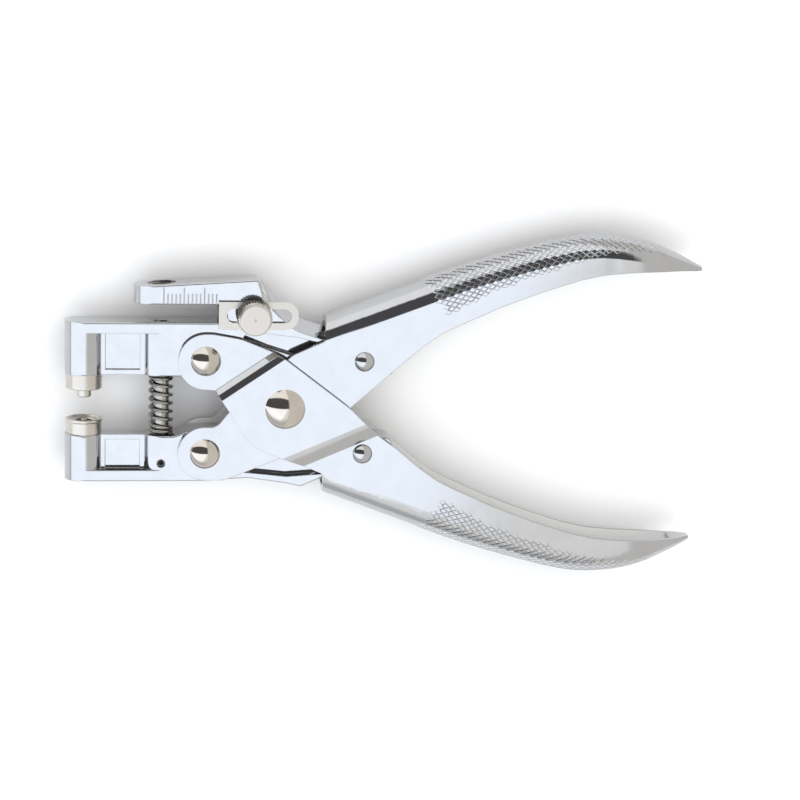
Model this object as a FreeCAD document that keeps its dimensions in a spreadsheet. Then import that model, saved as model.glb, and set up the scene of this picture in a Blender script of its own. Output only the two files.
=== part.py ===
"""Parallel-action hole punch and eyelet pliers.

Two cast jaws are carried by two crossing handles of folded sheet steel. Each handle turns on one
jaw's pivot rivet and slides in a slot in the other jaw's tail, so the jaws stay parallel as they
close. A punch rod fixed in the lower jaw slides through the upper jaw and into a die bush in the
ruler arm. The pliers lie flat: X runs along them, jaws at -X, and Z is their thickness.

Points of outlines are measured from the main pivot, in millimetres, before the frame's offset.
"""
import FreeCAD, Part
import math
import os

import Sketcher

Vec = FreeCAD.Vector

DIMS = [
    # alias, size, meaning
    ("pivot_x", -25.7, "main pivot in the part's frame, X"),
    ("pivot_y", 0.0, "main pivot in the part's frame, Y"),
    ("pivot_z", 10.2, "middle plane's height over the surface it lies on"),
    ("reach", 19.8, "main pivot to each outer pin, along X"),
    ("rise", 11.8, "main pivot to each outer pin, along Y"),
    ("slide_run", 3.6, "travel of a slide rivet in its slot"),
    ("jaw_half", 4.8, "half thickness of the cast jaws"),
    ("jaw_inner", 7.6, "pivot to each jaw's inner face"),
    ("upper_top", 21.2, "pivot to the upper jaw's top face"),
    ("lower_base", 19.2, "pivot to the lower jaw's underside"),
    ("die_x", 49.85, "pivot to the axis of the setting dies"),
    ("punch_x", 30.7, "pivot to the axis of the punch rod"),
    ("bar_rise", 2.8, "height of the bar over each recess"),
    ("web_half", 2.4, "half thickness of the web's rim in the recess"),
    ("panel_half", 1.6, "half thickness of the web's panel"),
    ("panel_width", 8.6, "width of the web's panel along X"),
    ("panel_rim", 1.3, "rim of the web beside the panel"),
    ("cheek_round", 0.4, "radius of the castings' cheek edges"),
    ("arm_bottom", 25.7, "pivot to the ruler arm's lower face"),
    ("arm_nose_x", 32.8, "centre of the ruler arm's rounded nose"),
    ("slot_root", 14.8, "root of the material slot, from the pivot"),
    ("mark_x", 30.2, "pivot to the ruler's first mark"),
    ("mark_count", 14, "marks of the ruler, 1 mm apart"),
    ("mark_width", 0.25, "width of an engraved mark"),
    ("mark_depth", 0.2, "depth of an engraved mark"),
    ("mark_short", 2.7, "length of a mark"),
    ("mark_long", 4.25, "length of every fifth mark"),
    ("bevel_angle", 30.0, "slope of the root's broad bevels, degrees"),
    ("tail_web_half", 1.8, "half thickness of the web in a tail"),
    ("sheet_wall", 1.4, "thickness of the handles' sheet steel"),
    ("channel_half", 6.4, "half width of a handle's channel"),
    ("spine_round", 5.4, "outer bend radius of a handle's spine"),
    ("raised_half", 8.0, "half width over the lower handle's raised cheeks"),
    ("front_step_angle", 124.4, "direction of the front joggle, degrees"),
    ("front_step_high", 11.4, "pivot to the front joggle's raised edge"),
    ("front_step_round", 3.0, "bend radius of the front joggle's raised edge"),
    ("front_step_low", 13.45, "pivot to the front joggle's low edge"),
    ("rear_step_angle", -67.0, "direction of the rear joggle, degrees"),
    ("rear_step_high", 13.5, "pivot to the rear joggle's raised edge"),
    ("rear_step_round", 7.0, "bend radius of the rear joggle's raised edge"),
    ("rear_step_low", 15.7, "pivot to the rear joggle's low edge"),
    ("step_width", 60.0, "length of the cut that forms a joggle, past both flanges"),
    ("lobe_round", 6.8, "radius of a handle's front lobe"),
    ("main_shaft_r", 2.5, "main rivet's shaft radius"),
    ("main_head_r", 5.0, "main rivet's head radius"),
    ("main_dome", 2.2, "main rivet's head height"),
    ("jaw_shaft_r", 2.0, "jaw rivets' shaft radius"),
    ("jaw_head_r", 3.75, "jaw rivets' head radius"),
    ("jaw_dome", 1.9, "jaw rivets' head height"),
    ("slide_shaft_r", 1.5, "slide rivets' shaft radius"),
    ("slide_head_r", 2.5, "slide rivets' head radius"),
    ("slide_dome", 1.4, "slide rivets' head height"),
    ("run_gap", 0.05, "radial clearance of every running fit"),
    ("spacer_r", 4.0, "outer radius of the pivot's spacer sleeve"),
    ("spacer_length", 9.8, "length of the pivot's spacer sleeve"),
    ("rod_r", 2.05, "punch rod's radius"),
    ("rod_top", 20.4, "pivot to the rod's cutting end"),
    ("rod_foot", 17.6, "pivot to the rod's foot in the lower jaw"),
    ("mouth_r", 3.4, "radius of the countersink over the rod's bore"),
    ("mouth_depth", 1.2, "depth of the countersink over the rod's bore"),
    ("cross_y", 14.6, "pivot to the roll pin that holds the rod"),
    ("cross_r", 1.05, "roll pin's radius"),
    ("cross_bore", 0.6, "roll pin's inner radius"),
    ("cross_length", 8.4, "roll pin's length"),
    ("coil_r", 2.72, "spring's mean coil radius"),
    ("wire_r", 0.43, "spring wire's radius"),
    ("coil_pitch", 2.05, "spring's pitch"),
    ("bush_r", 3.5, "die bush's outer radius"),
    ("bush_length", 4.3, "die bush's length"),
    ("bush_land", 3.0, "length of the die bush's cutting bore"),
    ("bush_relief_r", 2.6, "radius of the die bush's relief"),
    ("bush_cut", 14.0, "length of the cut for the die bush, right through the arm"),
    ("shank_r", 1.5, "setting dies' shank radius"),
    ("shank_length", 6.0, "setting dies' shank length"),
    ("die_rise", 3.8, "height of each setting die out of its jaw"),
    ("upper_die_r", 4.5, "upper setting die's radius"),
    ("tip_r", 1.85, "upper die tip's radius"),
    ("tip_length", 2.2, "upper die tip's length"),
    ("tip_bore_r", 1.1, "radius of the hollow in the upper die's tip"),
    ("lower_die_r", 4.35, "lower setting die's radius"),
    ("rim_r", 4.6, "radius of the lower die's flared rim"),
    ("cup_r", 2.3, "radius of the lower die's cup"),
    ("cup_depth", 2.4, "depth of the lower die's cup"),
    ("boss_r", 0.75, "radius of the boss in the lower die's cup"),
    ("gauge_left", 16.7, "pivot to the stop plate's left edge"),
    ("gauge_length", 19.8, "stop plate's length"),
    ("gauge_low", 19.7, "pivot to the stop plate's lower edge"),
    ("gauge_height", 7.0, "stop plate's height"),
    ("gauge_sheet", 1.2, "stop plate's thickness"),
    ("gauge_slot", 3.5, "width of the stop plate's slot"),
    ("gauge_slot_left", 14.7, "pivot to the left end of the plate's slot"),
    ("gauge_slot_length", 16.1, "length of the plate's slot, end to end"),
    ("flange_low", 21.5, "pivot to the flange's lower edge"),
    ("flange_height", 3.4, "flange's height in the material slot"),
    ("flange_short", 0.6, "how far the flange stops short of the far cheek"),
    ("face_gap", 0.05, "gap between sliding flat faces"),
    ("screw_x", 8.0, "pivot to the thumbscrew's axis, X"),
    ("screw_y", 23.2, "pivot to the thumbscrew's axis, Y"),
    ("screw_r", 1.45, "thumbscrew's shank radius"),
    ("knurl_r", 4.3, "thumbscrew's radius over the knurl"),
    ("knurl_depth", 0.35, "depth of the thumbscrew's knurl"),
    ("knurl_teeth", 38, "teeth of the thumbscrew's knurl"),
    ("knurl_length", 5.2, "length of the thumbscrew's knurl"),
    ("cap_r", 3.85, "radius of the thumbscrew's end disc"),
    ("cap_length", 1.3, "length of the thumbscrew's end disc"),
]

# The handles' spine and flange edge, for the handle whose spine is on +Y. The spine ends level.
SPINE = [(10.2, 22.6), (28.0, 29.3), (46.0, 35.9), (63.5, 41.1), (73.0, 43.3), (80.0, 43.85)]
FLANGE = [(80.0, 34.1), (74.0, 32.8), (64.0, 29.6), (54.0, 25.8), (44.2, 21.4)]
FLANGE_ROOT = [(39.1, 18.9, 12), (34.2, 15.4, 20), (28.9, 10.9)]

# Cross sections of a handle's closed tip: x, spine height, flange height, half width, bend radius.
TIP = [
    (80.0, 43.85, 34.1, 6.4, 5.4),
    (85.0, 43.55, 34.6, 6.4, 5.4),
    (90.5, 42.6, 34.9, 6.25, 5.2),
    (96.0, 40.8, 35.0, 5.5, 4.5),
    (101.0, 38.6, 35.0, 4.1, 3.3),
    (104.4, 36.8, 34.8, 2.5, 1.5),
    (106.2, 35.9, 34.8, 1.3, 0.7),
]
TIP_HOLLOW_STATIONS = 5

# Bodies that only shape another body.
TOOLS = []

doc = FreeCAD.newDocument("eyelet_pliers")
sheet = doc.addObject("Spreadsheet::Sheet", "dims")


def fill_sheet():
    """Writes every driving dimension into the sheet under its alias."""
    for row, (alias, size, meaning) in enumerate(DIMS, start=1):
        sheet.set(f"A{row}", meaning)
        sheet.set(f"B{row}", str(size))
        sheet.setAlias(f"B{row}", alias)
    doc.recompute()


def dim(alias):
    """The value that the sheet holds for an alias."""
    return float(sheet.get(alias))


# ---- sketches and features ---------------------------------------------------------------------

def new_body(name, x="0", y="0", z="0"):
    """A body labelled as its node and placed from the main pivot by expressions."""
    body = doc.addObject("PartDesign::Body", name)
    body.setExpression("Placement.Base.x", f"dims.pivot_x + {x}")
    body.setExpression("Placement.Base.y", f"dims.pivot_y + {y}")
    body.setExpression("Placement.Base.z", f"dims.pivot_z + {z}")
    return body


def new_sketch(body, name, role="XY_Plane", offset=None, turn=0.0):
    """A sketch on one of the body's origin planes.

    offset is an expression for the distance along the plane's normal, and turn swings an upright
    plane about Z. On XZ_Plane a sketch's y is the body's Z and its normal is -Y.
    """
    sketch = body.newObject("Sketcher::SketchObject", name)
    plane = next(f for f in body.Origin.OriginFeatures if f.Role == role)
    sketch.AttachmentSupport = [(plane, "")]
    sketch.MapMode = "FlatFace"
    if turn:
        sketch.AttachmentOffset = FreeCAD.Placement(Vec(), FreeCAD.Rotation(Vec(0, 1, 0), turn))
    if offset:
        sketch.setExpression("AttachmentOffset.Base.z", offset)
    return sketch


def add_edges(sketch, edges):
    """Adds a closed chain of edges and ties each edge's end to the next edge's start."""
    first = len(sketch.Geometry)
    sketch.addGeometry(edges, False)
    count = len(edges)
    ties = []
    for i in range(count):
        here = first + i
        after = first + (i + 1) % count
        pairs = [(a, b) for a in (1, 2) for b in (1, 2)]
        gap = lambda p: (sketch.getPoint(here, p[0]) - sketch.getPoint(after, p[1])).Length
        a, b = min(pairs, key=gap)
        ties.append(Sketcher.Constraint("Coincident", here, a, after, b))
    if count > 2:
        sketch.addConstraint(ties)


def corner_arc(before, here, after, radius):
    """The arc that rounds the corner at here, from the first leg to the second."""
    leg_in = (before - here).normalize()
    leg_out = (after - here).normalize()
    half = leg_in.getAngle(leg_out) / 2
    middle = (leg_in + leg_out).normalize()
    centre = here + middle * (radius / math.sin(half))
    cut = radius / math.tan(half)
    return Part.Arc(here + leg_in * cut, centre - middle * radius, here + leg_out * cut)


def outline(points):
    """Edges of a closed outline of (x, y) or (x, y, corner radius) points."""
    corners = [Vec(p[0], p[1], 0) for p in points]
    pieces = []
    for i, point in enumerate(points):
        here = corners[i]
        if len(point) > 2:
            arc = corner_arc(corners[i - 1], here, corners[(i + 1) % len(points)], point[2])
            pieces.append((arc.StartPoint, arc, arc.EndPoint))
        else:
            pieces.append((here, None, here))
    edges = []
    for i, (start, arc, end) in enumerate(pieces):
        if arc:
            edges.append(arc)
        following = pieces[(i + 1) % len(pieces)][0]
        if (following - end).Length > 1e-6:
            edges.append(Part.LineSegment(end, following))
    return edges


def draw(sketch, points):
    """Draws a closed outline of points in a sketch."""
    add_edges(sketch, outline(points))


def draw_circle(sketch, radius, x="0", y="0"):
    """Draws a circle whose centre and radius are expressions."""
    index = sketch.addGeometry(Part.Circle(Vec(1, 1, 0), Vec(0, 0, 1), 1.0), False)
    from_origin = (-1, 1, index, 3, 1.0)
    for rule, value in (
        (Sketcher.Constraint("DistanceX", *from_origin), x),
        (Sketcher.Constraint("DistanceY", *from_origin), y),
        (Sketcher.Constraint("Radius", index, 1.0), radius),
    ):
        place = sketch.addConstraint(rule)
        sketch.setExpression(f"Constraints[{place}]", value)


def mirrored(points):
    """The points mirrored in the sketch's x axis."""
    return [(p[0], -p[1], *p[2:]) for p in points]


def extrude(body, kind, name, sketch, length, taper=None):
    """A Pad or Pocket of the sketch, the same way to both sides of its plane."""
    feature = body.newObject(f"PartDesign::{kind}", name)
    feature.Profile = sketch
    feature.SideType = "Symmetric"
    feature.setExpression("Length", length)
    if taper:
        feature.setExpression("TaperAngle", f"-{taper}")
        feature.setExpression("TaperAngle2", f"-{taper}")
    return settle(body, feature, cuts=kind == "Pocket")


def revolve(body, kind, name, sketch):
    """A Revolution or Groove of the sketch about its own y axis."""
    feature = body.newObject(f"PartDesign::{kind}", name)
    feature.Profile = sketch
    feature.ReferenceAxis = (sketch, ["V_Axis"])
    feature.Angle = 360
    return settle(body, feature, cuts=kind == "Groove")


def settle(body, feature, cuts):
    """Recomputes a new feature and stops if it failed or changed nothing."""
    before = getattr(feature.BaseFeature, "Shape", None)
    doc.recompute()
    if {"Invalid", "Error"} & set(feature.State) or feature.Shape.isNull():
        raise RuntimeError(f"{body.Label}: {feature.Name} failed, {feature.State}")
    if before is not None:
        change = feature.Shape.Volume - before.Volume
        if abs(change) < 1e-3 or (change < 0) != cuts:
            raise RuntimeError(f"{body.Label}: {feature.Name} changed the volume by {change:.3f}")
    return feature


def drill(body, name, radius, length, x="0", y="0", role="XY_Plane", offset=None):
    """A round hole of the given length, centred on its sketch's plane."""
    sketch = new_sketch(body, f"{name}_sketch", role, offset)
    draw_circle(sketch, radius, x, y)
    return extrude(body, "Pocket", name, sketch, length)


def fillet(body, name, radius, wanted):
    """Rounds the tip feature's edges that the test picks."""
    base = body.Tip
    names = [f"Edge{i}" for i, edge in enumerate(base.Shape.Edges, start=1) if wanted(edge)]
    feature = body.newObject("PartDesign::Fillet", name)
    feature.Base = (base, names)
    feature.setExpression("Radius", radius)
    doc.recompute()
    if {"Invalid", "Error"} & set(feature.State) or feature.Shape.isNull():
        raise RuntimeError(f"{body.Label}: {name} failed on {names}")
    return feature


def middle_of(edge):
    """The point half way along an edge."""
    return edge.valueAt((edge.FirstParameter + edge.LastParameter) / 2)


# ---- cast jaws ---------------------------------------------------------------------------------

def round_nose(body, name, centre_x, y_low, y_high):
    """Rounds a bar's free end in plan to half its thickness, between two heights."""
    half = dim("jaw_half")
    past = half + 2
    x = -dim(centre_x)
    sketch = new_sketch(body, f"{name}_sketch", "XZ_Plane", f"-({y_low} + {y_high}) / 2")
    edges = [
        Part.Arc(Vec(x, -half, 0), Vec(x - half, 0, 0), Vec(x, half, 0)),
        Part.LineSegment(Vec(x, half, 0), Vec(x, past, 0)),
        Part.LineSegment(Vec(x, past, 0), Vec(x - past, past, 0)),
        Part.LineSegment(Vec(x - past, past, 0), Vec(x - past, -past, 0)),
        Part.LineSegment(Vec(x - past, -past, 0), Vec(x, -past, 0)),
        Part.LineSegment(Vec(x, -past, 0), Vec(x, -half, 0)),
    ]
    add_edges(sketch, edges)
    extrude(body, "Pocket", name, sketch, f"{y_high} - {y_low}")


def recess_edges(side_z):
    """Plan of the recess on one cheek, between the die's boss and the punch rod's boss."""
    half = dim("jaw_half")
    web = dim("web_half")
    left = -dim("die_x")
    right = -dim("punch_x")
    reach = math.sqrt(half ** 2 - web ** 2)
    slope = math.sin(math.radians(60)) * half
    flat = math.cos(math.radians(60)) * half
    past = half + 1

    def at(x, z):
        return Vec(x, z * side_z, 0)

    return [
        Part.LineSegment(at(left, half), at(left, past)),
        Part.LineSegment(at(left, past), at(right, past)),
        Part.LineSegment(at(right, past), at(right, half)),
        Part.Arc(at(right, half), at(right - flat, slope), at(right - reach, web)),
        Part.LineSegment(at(right - reach, web), at(left + reach, web)),
        Part.Arc(at(left + reach, web), at(left + flat, slope), at(left, half)),
    ]


def cut_recess(body, side, outer):
    """Cuts the recesses and their panels into both cheeks; side is +1 on the upper jaw."""
    bar = f"({outer} - dims.bar_rise)"
    inner = "(dims.jaw_inner - 2)"
    sketch = new_sketch(body, "recess_sketch", "XZ_Plane", f"{-side} * ({bar} + {inner}) / 2")
    for side_z in (1, -1):
        add_edges(sketch, recess_edges(side_z))
    extrude(body, "Pocket", "recess", sketch, f"{bar} - {inner}")

    low = side * (dim("jaw_inner") + dim("panel_rim"))
    high = side * (dim(outer.split(".")[1]) - dim("bar_rise"))
    step = dim("panel_half")
    past = dim("web_half") + 0.5
    sketch = new_sketch(body, "panel_sketch", "YZ_Plane", "-(dims.die_x + dims.punch_x) / 2")
    panel = [(low, past), (high, past), (high, step), (low, step)]
    draw(sketch, panel)
    draw(sketch, mirrored(panel))
    extrude(body, "Pocket", "panel", sketch, "dims.panel_width")


def cut_tail_pocket(body, points):
    """Cuts the same shallow pocket into both cheeks of a tail and leaves a thin web."""
    sketch = new_sketch(body, "tail_web_sketch", offset="(dims.jaw_half + 1 + dims.tail_web_half) / 2")
    draw(sketch, points)
    extrude(body, "Pocket", "tail_web", sketch, "dims.jaw_half + 1 - dims.tail_web_half")
    sketch = new_sketch(body, "far_web_sketch", offset="-(dims.jaw_half + 1 + dims.tail_web_half) / 2")
    draw(sketch, points)
    extrude(body, "Pocket", "far_web", sketch, "dims.jaw_half + 1 - dims.tail_web_half")


def cut_linkage_holes(body, sign):
    """The pivot bore and the slide rivet's slot; sign is the expression's sign of Y."""
    through = "2 * dims.jaw_half + 2"
    drill(body, "pivot_bore", "dims.jaw_shaft_r + dims.run_gap", through,
          "-dims.reach", f"{sign}dims.rise")
    width = dim("slide_shaft_r") + dim("run_gap")
    left = dim("reach")
    right = left + dim("slide_run")
    y = dim("rise") * (-1 if sign else 1)
    sketch = new_sketch(body, "slide_slot_sketch")
    add_edges(sketch, [
        Part.LineSegment(Vec(left, y + width, 0), Vec(right, y + width, 0)),
        Part.Arc(Vec(right, y + width, 0), Vec(right + width, y, 0), Vec(right, y - width, 0)),
        Part.LineSegment(Vec(right, y - width, 0), Vec(left, y - width, 0)),
        Part.Arc(Vec(left, y - width, 0), Vec(left - width, y, 0), Vec(left, y + width, 0)),
    ])
    extrude(body, "Pocket", "slide_slot", sketch, through)


def upper_jaw_outline():
    """Cheek outline of the upper jaw with its ruler arm and tail."""
    end = -dim("die_x") - dim("jaw_half")
    nose = -dim("arm_nose_x") - dim("jaw_half")
    inner = dim("jaw_inner")
    top = dim("upper_top")
    arm = dim("arm_bottom")
    root = -dim("slot_root")
    return [
        (end, inner), (end, top), (root, top, 0.6), (root, arm, 0.6), (nose, arm), (nose, 30.2),
        (-6.9, 32.1, 0.6), (-5.2, 26.6, 3.0), (-2.9, 24.5, 2.0), (4.6, 16.9, 3.0), (10.0, 16.7, 4.0),
        (27.8, 15.6, 2.5), (27.8, 7.8, 2.5), (14.0, 7.8, 4.0), (5.0, 9.8, 4.0), (-3.0, 9.8, 4.0),
        (-13.0, 7.6, 2.0), (-16.0, 6.0, 2.0), (-22.8, 6.0, 2.0), (-25.5, inner, 1.5),
    ]


def lower_jaw_outline():
    """Cheek outline of the lower jaw with its tail."""
    end = -dim("die_x") - dim("jaw_half")
    inner = -dim("jaw_inner")
    base = -dim("lower_base")
    return [
        (end, inner), (-27.6, inner, 1.5), (-23.5, -6.2, 3.0), (-16.5, -6.0, 3.0), (-13.0, -8.0, 2.0),
        (-3.0, -9.8, 4.0), (5.0, -9.8, 4.0), (14.0, -7.8, 4.0), (27.8, -7.8, 2.5), (27.8, -15.6, 2.5),
        (13.0, -16.8, 6.0), (4.6, -20.7, 3.0), (1.2, -19.9, 3.0), (-9.0, -18.4, 8.0), (-20.0, base, 10.0),
        (end, base),
    ]


UPPER_TAIL_POCKET = [(-11.4, 17.0, 0.8), (-9.0, 19.0, 0.8), (3.2, 17.6, 0.8), (12.4, 15.4, 0.8),
                     (12.4, 12.6, 0.8), (3.0, 12.6, 1.0), (-4.0, 14.8, 3.0)]
LOWER_TAIL_POCKET = [(-12.0, -15.2, 0.8), (-10.0, -16.9, 0.8), (0.8, -18.0, 0.8), (11.0, -17.3, 0.8),
                     (12.4, -12.6, 0.8), (3.0, -12.0, 1.0), (-6.0, -12.0, 1.0)]
ROOT_BEVEL = [(-6.7, 32.1, 0.6), (-0.2, 25.2, 5.0), (3.8, 21.8, 5.0), (9.0, 20.1, 3.0), (13.5, 18.9),
              (13.5, 11.5), (-4.0, 11.5), (-10.0, 21.0)]


def make_upper_jaw():
    """The fixed jaw: die boss, punch guide, ruler arm, pivot lug and slotted tail."""
    body = new_body("upper_jaw")
    sketch = new_sketch(body, "cheek_sketch")
    draw(sketch, upper_jaw_outline())
    extrude(body, "Pad", "casting", sketch, "2 * dims.jaw_half")
    fillet(body, "cheek_edges", "dims.cheek_round", is_cheek_edge)
    sketch = new_sketch(body, "bevel_sketch")
    draw(sketch, ROOT_BEVEL)
    extrude(body, "Pad", "root_bevel", sketch, "2 * dims.jaw_half", taper="dims.bevel_angle")
    round_nose(body, "jaw_nose", "die_x", "(dims.jaw_inner - 1)", "(dims.upper_top + 1)")
    round_nose(body, "arm_nose", "arm_nose_x", "(dims.arm_bottom - 1)", "(dims.arm_bottom + 6)")
    cut_recess(body, 1, "dims.upper_top")
    cut_tail_pocket(body, UPPER_TAIL_POCKET)
    cut_linkage_holes(body, "")
    drill(body, "shank_hole", "dims.shank_r", "2 * dims.shank_length", "-dims.die_x", "0",
          "XZ_Plane", "-dims.jaw_inner")
    drill(body, "rod_bore", "dims.rod_r + dims.run_gap", "dims.upper_top - dims.jaw_inner + 2",
          "-dims.punch_x", "0", "XZ_Plane", "-(dims.upper_top + dims.jaw_inner) / 2")
    drill(body, "bush_hole", "dims.bush_r", "dims.bush_cut", "-dims.punch_x", "0", "XZ_Plane",
          "-(dims.arm_bottom + dims.bush_length)")
    drill(body, "screw_hole", "dims.screw_r + dims.run_gap", "2 * dims.jaw_half + 2",
          "-dims.screw_x", "dims.screw_y")
    cut_rod_mouth(body)
    engrave_ruler(body)
    return body


def engrave_ruler(body):
    """The ruler's marks on the near cheek, one a millimetre from the arm's lower edge."""
    depth = dim("mark_depth")
    half = dim("mark_width") / 2
    low = dim("arm_bottom")
    sketch = new_sketch(body, "ruler_sketch", offset="dims.jaw_half")
    for index in range(int(dim("mark_count"))):
        x = index - dim("mark_x")
        high = low + (dim("mark_short") if index % 5 else dim("mark_long"))
        draw(sketch, [(x - half, low - depth), (x + half, low - depth),
                      (x + half, high), (x - half, high)])
    extrude(body, "Pocket", "ruler", sketch, "2 * dims.mark_depth")


def cut_rod_mouth(body):
    """The cone that opens the rod's bore at the upper jaw's top face."""
    x = -dim("punch_x")
    top = dim("upper_top")
    sketch = new_sketch(body, "mouth_sketch")
    slope = dim("mouth_r") / dim("mouth_depth")
    past = 0.5
    draw(sketch, [(x, top - dim("mouth_depth")), (x, top + past),
                  (x + dim("mouth_r") + past * slope, top + past)])
    sketch.addGeometry(Part.LineSegment(Vec(x, 0, 0), Vec(x, top, 0)), True)
    feature = body.newObject("PartDesign::Groove", "rod_mouth")
    feature.Profile = sketch
    feature.ReferenceAxis = (sketch, ["Axis0"])
    feature.Angle = 360
    settle(body, feature, cuts=True)


def is_cheek_edge(edge):
    """True for the edges round a cheek's face."""
    return abs(abs(middle_of(edge).z) - dim("jaw_half")) < 1e-4


def make_lower_jaw():
    """The moving jaw: die boss, the punch rod's socket, pivot lug and slotted tail."""
    body = new_body("lower_jaw")
    sketch = new_sketch(body, "cheek_sketch")
    draw(sketch, lower_jaw_outline())
    extrude(body, "Pad", "casting", sketch, "2 * dims.jaw_half")
    fillet(body, "cheek_edges", "dims.cheek_round", is_cheek_edge)
    round_nose(body, "jaw_nose", "die_x", "(-dims.lower_base - 1)", "(1 - dims.jaw_inner)")
    cut_recess(body, -1, "dims.lower_base")
    cut_tail_pocket(body, LOWER_TAIL_POCKET)
    cut_linkage_holes(body, "-")
    drill(body, "shank_hole", "dims.shank_r", "2 * dims.shank_length", "-dims.die_x", "0",
          "XZ_Plane", "dims.jaw_inner")
    drill(body, "rod_socket", "dims.rod_r", "2 * (dims.rod_foot - dims.jaw_inner)",
          "-dims.punch_x", "0", "XZ_Plane", "dims.jaw_inner")
    drill(body, "cross_hole", "dims.cross_r", "2 * dims.jaw_half + 2", "-dims.punch_x", "-dims.cross_y")
    return body


# ---- sheet steel handles -----------------------------------------------------------------------

def spine_curve(side, inset):
    """The spine's curve on the side view; inset gives the hollow's, which starts further forward."""
    stations = [Vec(x, y, 0) for x, y in SPINE]
    rising = (stations[1] - stations[0]).normalize()
    level = Vec(1, 0, 0)
    curve = Part.BSplineCurve()
    curve.interpolate(Points=stations, InitialTangent=rising, FinalTangent=level)
    points = []
    for station in stations:
        along = curve.tangent(curve.parameter(station))[0]
        points.append(station + Vec(along.y, -along.x, 0).normalize() * inset)
    if inset:
        points.insert(0, points[0] - rising * 20.0)
    shown = Part.BSplineCurve()
    shown.interpolate(Points=[Vec(p.x, p.y * side, 0) for p in points],
                      InitialTangent=Vec(rising.x, rising.y * side, 0), FinalTangent=level)
    return shown


def channel_edges(side, front, inset=0.0, past=0.0):
    """Side view of a handle up to its tip; front continues from the flange back to the spine.

    inset draws the hollow's edge inside the spine, and past carries it over the open flange edge.
    """
    spine = spine_curve(side, inset)
    start = spine.StartPoint
    end = spine.EndPoint
    flange = [(x, (y - past) * side) for x, y in FLANGE]
    lower = [(p[0], (p[1] - past) * side, *p[2:]) for p in FLANGE_ROOT]
    rest = [(end.x, end.y), *flange, *lower, *front, (start.x, start.y)]
    edges = outline(rest)[:-1]
    return [spine, *edges]


def tip_section(body, name, station, inset):
    """One closed cross section of the tip, on a plane across the handle."""
    x, top, low, half, bend = TIP[station]
    top = (top - inset) * body_side(body)
    low = (low - inset) * body_side(body)
    half -= inset
    bend = max(bend - inset, 0.2)
    sketch = new_sketch(body, name, "YZ_Plane", str(x))
    draw(sketch, [(low, -half), (top, -half, bend), (top, half, bend), (low, half)])
    return sketch


def body_side(body):
    """+1 for the handle whose spine is on +Y and -1 for the other."""
    return 1 if body.Label == "upper_handle" else -1


def loft_tip(body, kind, name, stations, inset):
    """Lofts the tip, or its hollow, through its cross sections."""
    sketches = [tip_section(body, f"{name}_section_{i}", i, inset) for i in stations]
    feature = body.newObject(f"PartDesign::{kind}", name)
    feature.Profile = sketches[0]
    feature.Sections = sketches[1:]
    feature.Ruled = False
    return settle(body, feature, cuts=kind == "SubtractiveLoft")


def bend_test(half):
    """Picks the spine's edges on the two faces at a distance from the middle plane."""
    def wanted(edge):
        point = middle_of(edge)
        return abs(abs(point.z) - half) < 1e-4 and isinstance(edge.Curve, Part.BSplineCurve)
    return wanted


def subtract(body, tool):
    """Cuts a tool body out of a body; the tool stays in the document but isn't a node."""
    feature = body.newObject("PartDesign::Boolean", f"{tool.Label}_cut")
    feature.Type = "Cut"
    feature.setObjects([tool])
    TOOLS.append(tool.Name)
    return settle(body, feature, cuts=True)


def make_channel(body, front):
    """The folded channel of a handle: rounded spine, two flanges and a closed tip."""
    side = body_side(body)
    wall = dim("sheet_wall")
    sketch = new_sketch(body, "channel_sketch")
    add_edges(sketch, channel_edges(side, front))
    extrude(body, "Pad", "channel", sketch, "2 * dims.channel_half")
    fillet(body, "spine_bend", "dims.spine_round", bend_test(dim("channel_half")))
    hollow = doc.addObject("PartDesign::Body", f"{body.Label}_hollow")
    sketch = new_sketch(hollow, "hollow_sketch")
    past_pivot = [(-3.0, -30.0), (-40.0, -30.0), (-40.0, 8.5), (-6.2, 8.5)]
    beyond = [(x, y * side) for x, y in past_pivot]
    add_edges(sketch, channel_edges(side, beyond, wall, 3.0))
    extrude(hollow, "Pad", "hollow", sketch, "2 * (dims.channel_half - dims.sheet_wall)")
    inner_face = bend_test(dim("channel_half") - wall)
    fillet(hollow, "inner_bend", "dims.spine_round - dims.sheet_wall", inner_face)
    subtract(body, hollow)
    loft_tip(body, "AdditiveLoft", "tip", range(len(TIP)), 0.0)
    loft_tip(body, "SubtractiveLoft", "tip_hollow", range(TIP_HOLLOW_STATIONS), wall)


def drill_cheeks(body, sign, main_gap, front_y):
    """Bores for the three rivets that pass through a handle's cheeks."""
    through = "2 * dims.raised_half + 4"
    drill(body, "main_bore", f"dims.main_shaft_r + {main_gap}", through)
    drill(body, "jaw_bore", "dims.jaw_shaft_r", through, "-dims.reach", f"{front_y}dims.rise")
    drill(body, "slide_bore", "dims.slide_shaft_r", through, "dims.reach", f"{sign}dims.rise")


def make_upper_handle():
    """The inner handle: flat cheeks from the lower jaw's pivot to the upper grip."""
    body = new_body("upper_handle")
    lobe = dim("lobe_round")
    left = -dim("reach") - lobe
    high = -dim("rise") + lobe
    low = -dim("rise") - lobe
    front = [(16.4, -0.1, 20.0), (-0.3, -12.7, 2.0), (-15.0, low, 8.0), (left, low, lobe),
             (left, high, lobe), (-17.0, high, 3.0), (-13.6, -0.8, 3.0), (-6.0, 6.5, 8.0),
             (1.8, 13.4, 3.0), (9.8, 17.0, 1.0)]
    make_channel(body, front)
    drill_cheeks(body, "", "dims.run_gap", "-")
    return body


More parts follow.
